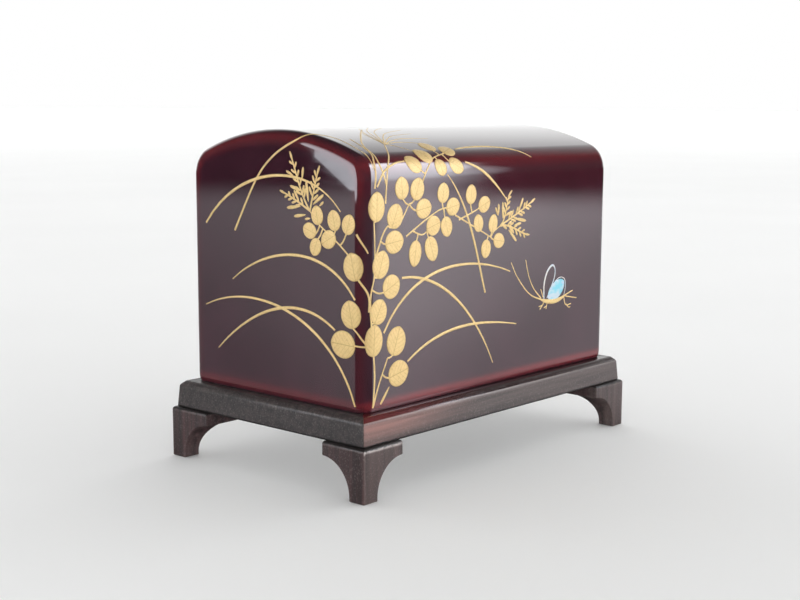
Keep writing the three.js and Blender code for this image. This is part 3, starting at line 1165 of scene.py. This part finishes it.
def paint_left(painter):
    """The left gable: arching blades, a leafy sprig and a flower head."""
    painter.blade((21.8, 36.8), (7.9, 46.4), (-0.8, 48.2), (-9.9, 47.5), (-20.2, 41.5))
    painter.blade((-24.2, 23.7), (-14.2, 30.6), (-3.5, 31.4), (13.1, 24.8))
    painter.blade((-24.2, 1.4), (-14.1, 14.5), (5.9, 21.1), (22.3, 18.2))
    painter.blade((-18.5, 16.8), (-5.5, 20.2), (5.2, 17.4), (18.2, 8.7))
    painter.sprig(
        [(-22.2, 32.9), (-20.0, 34.6), (-17.0, 36.6), (-13.6, 38.8), (-11.3, 41.2)],
        [(-13.4, 40.4, 4.1, 12), (-11.2, 37.1, 4.0, 72), (-12.9, 33.8, 3.9, 158), (-16.7, 35.6, 4.5, 118),
         (-18.3, 39.6, 4.4, 12), (-22.4, 39.0, 4.3, -18)], 0.8,
    )
    painter.leaf(-23.7, 30.4, 5.9, 14, 0.95)
    painter.leaf(-23.0, 20.5, 5.9, 12, 0.95)
    painter.leaf(-20.8, 14.1, 6.9, 88)
    painter.spike([(-11.3, 41.2), (-9.2, 44.4), (-7.6, 47.9), (-5.4, 53.4)], 5, 2.4)
    painter.spike([(-11.3, 41.2), (-8.1, 42.8), (-4.8, 44.2), (-2.3, 45.1)], 4, 2.0)
    painter.spike([(-11.3, 41.2), (-12.2, 44.6), (-12.8, 46.7), (-14.2, 50.7)], 4, 2.5)
    for foot, tip in (
        ((-9.0, 47.4), (-9.4, 50.5)), ((-8.8, 45.2), (-5.2, 46.3)), ((-8.1, 43.0), (-6.5, 45.5)),
        ((-8.8, 42.1), (-4.1, 41.5)), ((-10.3, 40.4), (-6.3, 39.8)), ((-11.5, 39.7), (-9.7, 39.4)),
        ((-12.0, 42.5), (-15.5, 44.9)), ((-14.0, 42.3), (-15.4, 43.4)), ((-6.6, 48.3), (-4.1, 49.4)),
        ((-10.9, 42.8), (-10.2, 47.7)),
    ):
        painter.bud(foot, tip)


def paint_corner(vault, strokes, sizes):
    """Lines over the near edges: leaf stalks, a short stroke, and a long blade that bends over the vault."""
    front, left = vault.front, vault.left
    stalk = sizes.petiole
    strokes.line([left(-25.0, 28.0), front(-42.9, 24.6), front(-42.8, 21.2)], 1.2 * stalk, stalk)
    strokes.line([left(-23.6, 17.8), left(-25.2, 16.4), front(-42.6, 13.6)], stalk, stalk)
    strokes.line([left(-23.6, 14.2), front(-43.4, 14.0)], stalk, stalk)
    strokes.line([left(-24.6, 37.2), front(-43.0, 33.3)], sizes.stem, 0.6 * sizes.stem)
    strokes.line([
        front(-40.9, 50.2), front(-40.5, 54.1), front(-40.2, 58.0), front(-39.9, 64.2), front(-41.6, 67.4),
        left(-6.4, 55.5), left(-0.1, 52.2), left(5.3, 46.9), left(12.2, 35.7),
    ], sizes.blade_tip, 0.85 * sizes.blade_root)


def paint_back(painter):
    """The back, plainer: a leafy stem from its left corner and three blades."""
    painter.blade((-36.0, 2.0), (-29.0, 17.0), (-13.0, 27.0), (8.0, 26.0))
    painter.blade((-33.0, 1.5), (-22.0, 11.0), (-6.0, 14.0), (9.0, 9.0))
    painter.blade((-27.0, 38.0), (-14.0, 43.5), (0.0, 41.0), (9.0, 35.5))
    painter.sprig(
        [(-38.0, 1.5), (-37.0, 12.0), (-34.0, 24.0), (-28.0, 33.0), (-22.0, 36.5)],
        [(-34.0, 9.0, 6.4, 58), (-39.6, 17.0, 6.2, -38), (-32.0, 20.6, 6.0, 62), (-36.4, 29.0, 5.8, -36),
         (-26.6, 28.6, 5.2, 96), (-29.0, 38.6, 5.2, -18), (-19.0, 40.0, 4.8, 40), (-18.0, 34.6, 4.6, 108)],
    )
    painter.spike([(-20.0, 37.0), (-16.0, 39.0), (-12.0, 42.0)], 3, 2.0)
    painter.spike([(-20.0, 37.0), (-15.0, 37.4), (-10.5, 37.0)], 3, 2.2)
    painter.spike([(-20.0, 37.0), (-16.4, 35.2), (-13.0, 32.5)], 3, 1.9)


def paint_right(painter):
    """The right gable, plainer: two blades and a few leaves."""
    painter.blade((22.0, 2.0), (14.0, 17.0), (0.0, 25.5), (-15.0, 24.0))
    painter.blade((20.0, 1.5), (9.0, 10.0), (-4.0, 12.5), (-17.0, 8.0))
    painter.sprig(
        [(23.0, 1.5), (22.0, 14.0), (19.0, 25.0), (14.0, 32.0)],
        [(18.0, 19.0, 5.6, -64), (22.6, 26.0, 5.6, 28), (13.0, 28.4, 5.2, -92), (16.0, 36.4, 5.0, 12),
         (10.6, 34.6, 4.8, -52)], 0.9,
    )


def paint_cricket(vault, strokes, wings):
    """A bell cricket: gold feelers, body and legs, and the pale outlines of its two wings."""
    def lined(places):
        return [vault.front(x, v) for x, v in places]

    fine = 0.11 * MM
    strokes.line(lined([(17.2, 17.5), (13.6, 18.7), (10.6, 20.7), (7.1, 24.3), (5.1, 27.4)]), 0.2 * MM, fine)
    strokes.line(lined([(17.0, 17.9), (14.1, 20.4), (12.0, 23.6), (10.7, 27.5)]), 0.18 * MM, fine)
    body = [(17.0, 17.5), (19.2, 16.9), (21.8, 16.6), (24.6, 16.8), (27.2, 17.6)]
    strokes.swelling(lined(body), scaled((0.22, 0.52, 0.62, 0.5, 0.2), MM))
    raised_wing = [
        (18.3, 17.4), (18.2, 20.9), (19.3, 23.8), (21.3, 25.3), (22.5, 24.6), (22.5, 22.6), (21.2, 20.2),
        (19.5, 17.6),
    ]
    wings.swelling(lined(raised_wing), scaled((0.2, 0.26, 0.3, 0.28, 0.2, 0.16, 0.16, 0.14), MM))
    low_wing = [(19.8, 18.0), (21.6, 20.4), (24.4, 22.1), (26.6, 21.6), (27.1, 19.8), (26.5, 17.6)]
    wings.line(lined(low_wing), fine, fine)
    for leg in (
        [(18.4, 17.0), (17.7, 16.1), (16.2, 15.9)], [(17.7, 16.1), (16.7, 15.2)],
        [(19.6, 16.7), (19.4, 15.8), (18.3, 15.4)], [(19.4, 15.8), (19.2, 15.0)],
        [(26.5, 17.1), (27.3, 15.2), (29.6, 15.2)], [(27.6, 15.3), (28.6, 14.4), (29.3, 14.5)],
        [(27.0, 17.6), (30.2, 18.4)], [(27.2, 17.3), (31.9, 16.4)],
        [(17.9, 18.0), (16.9, 20.0)], [(18.3, 18.0), (18.1, 19.7)],
    ):
        strokes.line(lined(leg), 0.17 * MM, 0.13 * MM)


# Stage

FLOOR_DROP = 0.00005
DISC_SIDES = 96
FROM_CAMERA = (0.67, 0.74, 0.0)
TO_RIGHT = (0.74, -0.67, 0.0)
TO_WALL = (0.8, 0.6, 0.0)
MIRROR_MIDDLE = (-0.03, 0.05, 0.0)
MIRROR_COLOUR = (0.975, 0.955, 0.99)
CARD_COLOUR = (0.95, 0.985, 1.06)
WHITE = (1.0, 1.0, 1.0)
LAMP_PLACE = Vector((0.25, -0.1, 0.9))
LAMP_SIZE = 0.9

# Cards that the polished sides mirror, in rows from the lower edge up: a point in millimetres and its glow
FRONT_CARD = (
    ((139, -382, 24, 0.0), (281, -285, 24, 0.0), (318, -270, 24, 0.0)),
    ((139, -382, 36, 0.28), (281, -285, 36, 0.16), (318, -270, 36, 0.0)),
    ((139, -383, 46, 0.42), (281, -285, 44, 0.34), (318, -270, 42, 0.0)),
    ((184, -334, 187, 0.7), (281, -282, 111, 0.6), (318, -265, 80, 0.0)),
    ((252, -152, 310, 1.0), (275, -155, 297, 0.85), (306, -215, 225, 0.0)),
    ((258, -122, 332, 0.0), (282, -122, 320, 0.0), (312, -192, 252, 0.0)),
)
GABLE_CARD = (
    ((-297, 218, 41, 1.0), (-323, 186, 36, 1.0), (-381, 68, 38, 1.0)),
    ((-291, 235, 56, 1.0), (-323, 190, 80, 1.0), (-381, 66, 80, 1.0)),
    ((-287, 225, 150, 1.0), (-316, 180, 166, 1.0), (-373, 40, 170, 1.0)),
    ((-287, 225, 250, 0.0), (-316, 180, 266, 0.0), (-373, 40, 270, 0.0)),
)


def disc(name, radius, material):
    turns = even_steps(0.0, 2 * math.pi, DISC_SIDES)
    points = [(radius * math.cos(turn), radius * math.sin(turn), -FLOOR_DROP) for turn in turns]
    return new_piece(name, mesh_from(name, points, [range(DISC_SIDES)]), material)


def card(name, rows, brightness):
    """A glowing card made of rows of points."""
    columns = len(rows[0])
    spots = [spot for row in rows for spot in row]
    faces = []
    for row in range(len(rows) - 1):
        for low in range(row * columns, (row + 1) * columns - 1):
            faces.append((low, low + 1, low + 1 + columns, low + columns))
    mesh = mesh_from(name, [scaled(spot[:3], MM) for spot in spots], faces)
    set_attribute(mesh, "glow", [spot[3] for spot in spots])
    return new_piece(name, mesh, card_light(name, brightness))


def card_light(name, brightness):
    """A card's light, added to what lies behind the card."""
    material, nodes, light = new_material(name, "ShaderNodeEmission")
    nodes.fill(light, {"Color": CARD_COLOUR, "Strength": nodes.times(nodes.attribute("glow"), brightness)})
    clear = nodes.out("ShaderNodeBsdfTransparent")
    both = nodes.out("ShaderNodeAddShader", {0: clear, 1: light.outputs[0]})
    nodes.fill(nodes.tree.get_output_node("ALL"), {"Surface": both})
    return material


def only_for_mirrors(piece):
    """Lets only polished pieces see a piece of the stage."""
    piece.visible_camera = False
    piece.visible_diffuse = False
    piece.visible_shadow = False


def mirrored_light(stage):
    """The mirrored floor: dark close to the box, where a painted shadow of the box lies, and towards the
    camera, brighter out to the sides.
    """
    material, nodes, light = new_material("mirrored_floor", "ShaderNodeEmission")
    place = nodes.place()
    reach = nodes.vector("LENGTH", place)
    offset = nodes.vector("SUBTRACT", place, (LID_LOW.x, LID_LOW.y, 0.0))
    direction = nodes.vector("NORMALIZE", offset)
    to_right = nodes.vector("DOT_PRODUCT", direction, TO_RIGHT)
    beside = nodes.step(reach, 0.09, 0.26, 1.15, 1.65)
    off_middle = nodes.vector("DISTANCE", place, MIRROR_MIDDLE)
    x, y, _ = nodes.parts(place)
    strength = nodes.times(
        nodes.step(reach, 0.0, 0.9, 0.52, 0.76),
        nodes.step(off_middle, 0.66 * stage.mirror_reach, stage.mirror_reach, 1.0, 0.0),
        nodes.step(to_right, -0.5, 0.5, stage.mirror_left, stage.mirror_right),
        nodes.step(nodes.vector("DOT_PRODUCT", direction, FROM_CAMERA), 0.0, 0.3, beside, 0.74),
        nodes.step(nodes.vector("DOT_PRODUCT", offset, FROM_CAMERA), -0.005, 0.001, 0.06, 1.0),
        # A painted shadow of the box: the mirrored floor darkens under and close around it
        nodes.most(
            nodes.step(nodes.size(x), 0.046, 0.085, 0.1, 1.0),
            nodes.step(nodes.size(y), 0.028, 0.075, 0.1, 1.0),
        ),
    )
    nodes.fill(light, {"Color": MIRROR_COLOUR, "Strength": strength})
    return material


def floor_material(stage):
    """Pale paper with a faint glow that grows far away, so that it turns to white."""
    material, nodes, shader = new_material("pale_floor")
    place = nodes.place()
    clouds = nodes.step(nodes.noise(place, 6.0, 2.0), 0.3, 0.7)
    nodes.fill(shader, {
        "Base Color": nodes.mix(clouds, stage.floor_colour, scaled(stage.floor_colour, 0.985)),
        "Roughness": 0.9,
        "Specular IOR Level": 0.1,
        "Emission Color": WHITE,
        "Emission Strength": nodes.step(nodes.vector("LENGTH", place), 0.1, 3.0, 0.0, 0.1),
    })
    return material


def set_world(scene, stage):
    """White all round to the eye; to the lacquer, a bright wall behind and a dim room on the other sides."""
    world = bpy.data.worlds.new("studio")
    scene.world = world
    world.use_nodes = True
    nodes = Nodes(world.node_tree)
    nodes.tree.nodes.clear()
    rays = nodes.add("ShaderNodeLightPath").outputs
    direction = nodes.place("Generated")
    x, _, rise = nodes.parts(direction)
    behind = nodes.vector("DOT_PRODUCT", direction, TO_WALL)
    wall = nodes.times(nodes.step(behind, 0.45, 0.75), nodes.step(rise, 0.3, 0.75, 1.0, 0.0))
    mirrored = nodes.math("MULTIPLY_ADD", wall, stage.behind, stage.dim)
    around = nodes.times(
        nodes.step(rise, 0.12, 0.4, stage.low_light, stage.surround),
        nodes.step(x, -0.9, 0.3, stage.left_share, 1.0),
        nodes.step(nodes.vector("DOT_PRODUCT", direction, FROM_CAMERA), -0.8, 0.8, 0.94, 1.18),
    )
    unseen = nodes.choose(rays["Is Glossy Ray"], around, mirrored)
    strength = nodes.choose(rays["Is Camera Ray"], unseen, 1.0)
    background = nodes.out("ShaderNodeBackground", {"Color": WHITE, "Strength": strength})
    nodes.add("ShaderNodeOutputWorld", {"Surface": background})


def add_lamp(scene, power):
    """A soft square lamp above the box."""
    lamp = bpy.data.lights.new("overhead_lamp", "AREA")
    lamp.shape = "SQUARE"
    lamp.size = LAMP_SIZE
    lamp.energy = power
    item = bpy.data.objects.new("overhead_lamp", lamp)
    scene.collection.objects.link(item)
    turn = (-LAMP_PLACE).to_track_quat("-Z", "Y").to_matrix().to_4x4()
    item.matrix_world = Matrix.Translation(LAMP_PLACE) @ turn
    item.visible_camera = False
    item.visible_glossy = False


def set_camera(scene, stage):
    """The camera at the picture's angle."""
    camera = bpy.data.cameras.new("camera")
    camera.lens = stage.lens
    camera.sensor_width = 36.0
    camera.sensor_fit = "HORIZONTAL"
    camera.clip_start = 0.01
    item = bpy.data.objects.new("camera", camera)
    scene.collection.objects.link(item)
    level = math.cos(stage.elevation)
    side = Vector((math.cos(stage.azimuth), math.sin(stage.azimuth), 0.0))
    back = Vector((side.y * level, -side.x * level, math.sin(stage.elevation)))
    up = back.cross(side)
    right = side * math.cos(stage.roll) + up * math.sin(stage.roll)
    top = up * math.cos(stage.roll) - side * math.sin(stage.roll)
    eye = side * stage.target_side + Vector((0.0, 0.0, stage.target_height)) + back * stage.distance
    turn = Matrix((right, top, back)).transposed().to_4x4()
    item.matrix_world = Matrix.Translation(eye) @ turn
    scene.camera = item


# Operators

class MakeLid(bpy.types.Operator):
    """Makes the deep lacquer lid with its rounded edges, hollow inside and open below"""

    bl_idname = "incense_box.make_lid"
    bl_label = "Make lid"

    def execute(self, context):
        lid = settings().lid
        vault = Vault(lid)
        skin = LidSkin(vault)
        rows = section_rows(vault, lid.rim_roll)
        outer = skin.add_shell(rows, all_stations(vault.half_length, lid.edge), 0.0, 1)
        inner = skin.add_shell(rows, all_stations(vault.half_length - lid.wall, lid.inner_edge), lid.wall, -1)
        skin.add_rim(outer, inner, lid.rim_roll, lid.rim_depth)
        mesh = mesh_from("lacquer_lid", skin.points, skin.faces, skin.normals)
        set_attribute(mesh, "thin", skin.thin)
        piece = new_piece("lacquer_lid", mesh, lacquer_material(settings().finish))
        keep(piece, "lacquer", "domed_lid")
        return {"FINISHED"}


class MakeInnerBox(bpy.types.Operator):
    """Makes the plain open box under the lid"""

    bl_idname = "incense_box.make_inner_box"
    bl_label = "Make inner box"

    def execute(self, context):
        material = inner_lacquer_material(settings().finish)
        piece = eased_copy("box_body", "inner_box", settings().stand.box_edge, material)
        keep(piece, "inner_lacquer", "box_body")
        return {"FINISHED"}


class MakeBoard(bpy.types.Operator):
    """Makes the stand's board with its eased edges"""

    bl_idname = "incense_box.make_board"
    bl_label = "Make board"

    def execute(self, context):
        material = hardwood_material("hardwood_board", settings().finish, 0, settings().finish.board_tone)
        piece = eased_copy("stand_board", "wooden_board", settings().stand.board_edge, material)
        keep(piece, "hardwood", "stand_board")
        return {"FINISHED"}


class MakeFeet(bpy.types.Operator):
    """Makes the four feet with their eased edges"""

    bl_idname = "incense_box.make_feet"
    bl_label = "Make feet"

    def execute(self, context):
        material = hardwood_material("hardwood_feet", settings().finish, 2, settings().finish.foot_tone)
        for node in FEET:
            piece = eased_copy(node, "wooden_" + node, settings().stand.foot_edge, material)
            keep(piece, "hardwood", node)
        return {"FINISHED"}


class DrawGrasses(bpy.types.Operator):
    """Draws the gold stems, blades, leaves and flowers on the lid"""

    bl_idname = "incense_box.draw_grasses"
    bl_label = "Draw grasses"

    def execute(self, context):
        vault = Vault(settings().lid)
        lines = Strokes()
        leaves = Shapes()
        buds = Shapes()
        for side, paint in (
            (vault.front, paint_front), (vault.front, paint_vault), (vault.left, paint_left),
            (vault.back, paint_back), (vault.right, paint_right),
        ):
            paint(Painter(side, lines, leaves, buds))
        paint_corner(vault, lines, settings().drawing)
        gold = gold_powder()
        lines.make("gold_lines", "gold_drawing", gold)
        leaves.make("gold_leaves", round_shape("leaf", leaf_outline(), LEAF_RINGS, 1.0), "gold_drawing", gold)
        buds.make("gold_buds", round_shape("bud", bud_outline(), BUD_RINGS, 0.0), "gold_drawing", gold)
        return {"FINISHED"}


class DrawCricket(bpy.types.Operator):
    """Draws the gold cricket and lays in its shell wing"""

    bl_idname = "incense_box.draw_cricket"
    bl_label = "Draw cricket"

    def execute(self, context):
        vault = Vault(settings().lid)
        lines = Strokes()
        outlines = Strokes()
        paint_cricket(vault, lines, outlines)
        finish = settings().finish
        shell = shell_material("shell_inlay", finish.shell_blue, finish.shell_pale, finish.shell_violet)
        edging = shell_material("shell_edging", finish.shell_edge, finish.shell_pale, finish.shell_violet)
        lines.make("gold_cricket", "gold_drawing", gold_powder())
        outlines.make("wing_outlines", "shell", edging)
        wing = Shapes()
        along = (vault.front(26.9, 21.2) - vault.front(20.0, 17.3)).normalized()
        wing.put(vault.front(23.2, 19.2), along, 7.4 * MM, 0.58)
        wing.make("shell_wing", round_shape("wing", leaf_outline(), LEAF_RINGS, 0.0), "shell", shell)
        return {"FINISHED"}


class SetStage(bpy.types.Operator):
    """Sets the floor, the light and the camera"""

    bl_idname = "incense_box.set_stage"
    bl_label = "Set stage"

    def execute(self, context):
        stage = settings().stage
        context.scene.view_settings.view_transform = "Standard"
        floor = disc("floor", stage.floor_reach, floor_material(stage))
        floor.visible_glossy = False
        mirrored = disc("mirrored_floor", 2 * stage.mirror_reach, mirrored_light(stage))
        front = card("front_card", FRONT_CARD, stage.front_card)
        gable = card("gable_card", GABLE_CARD, stage.gable_card)
        for piece in (mirrored, front, gable):
            only_for_mirrors(piece)
        set_world(context.scene, stage)
        add_lamp(context.scene, stage.overhead)
        set_camera(context.scene, stage)
        return {"FINISHED"}


class IncenseBoxPanel(bpy.types.Panel):
    """Lists the steps that make the incense box"""

    bl_idname = "VIEW3D_PT_incense_box"
    bl_label = "Incense box"
    bl_space_type = "VIEW_3D"
    bl_region_type = "UI"
    bl_category = "Incense box"

    def draw(self, context):
        for step in STEPS:
            self.layout.operator(step.bl_idname)
        box = context.scene.incense_box
        for group in (box.lid, box.stand, box.drawing, box.finish, box.stage):
            column = self.layout.column()
            for name in group.__annotations__:
                column.prop(group, name)


GROUPS = (LidSizes, StandSizes, DrawingSizes, Finishes, StageSettings, IncenseBoxSettings)
STEPS = (MakeLid, MakeInnerBox, MakeBoard, MakeFeet, DrawGrasses, DrawCricket, SetStage)
CLASSES = (*GROUPS, *STEPS, IncenseBoxPanel)


def register():
    for item in CLASSES:
        bpy.utils.register_class(item)
    bpy.types.Scene.incense_box = bpy.props.PointerProperty(
        name="Incense box", description="Settings of the incense box", type=IncenseBoxSettings
    )


def unregister():
    del bpy.types.Scene.incense_box
    for item in reversed(CLASSES):
        bpy.utils.unregister_class(item)


def main():
    register()
    bpy.ops.incense_box.make_lid()
    bpy.ops.incense_box.make_inner_box()
    bpy.ops.incense_box.make_board()
    bpy.ops.incense_box.make_feet()
    bpy.ops.incense_box.draw_grasses()
    bpy.ops.incense_box.draw_cricket()
    bpy.ops.incense_box.set_stage()
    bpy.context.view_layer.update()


if __name__ == "__main__":
    main()
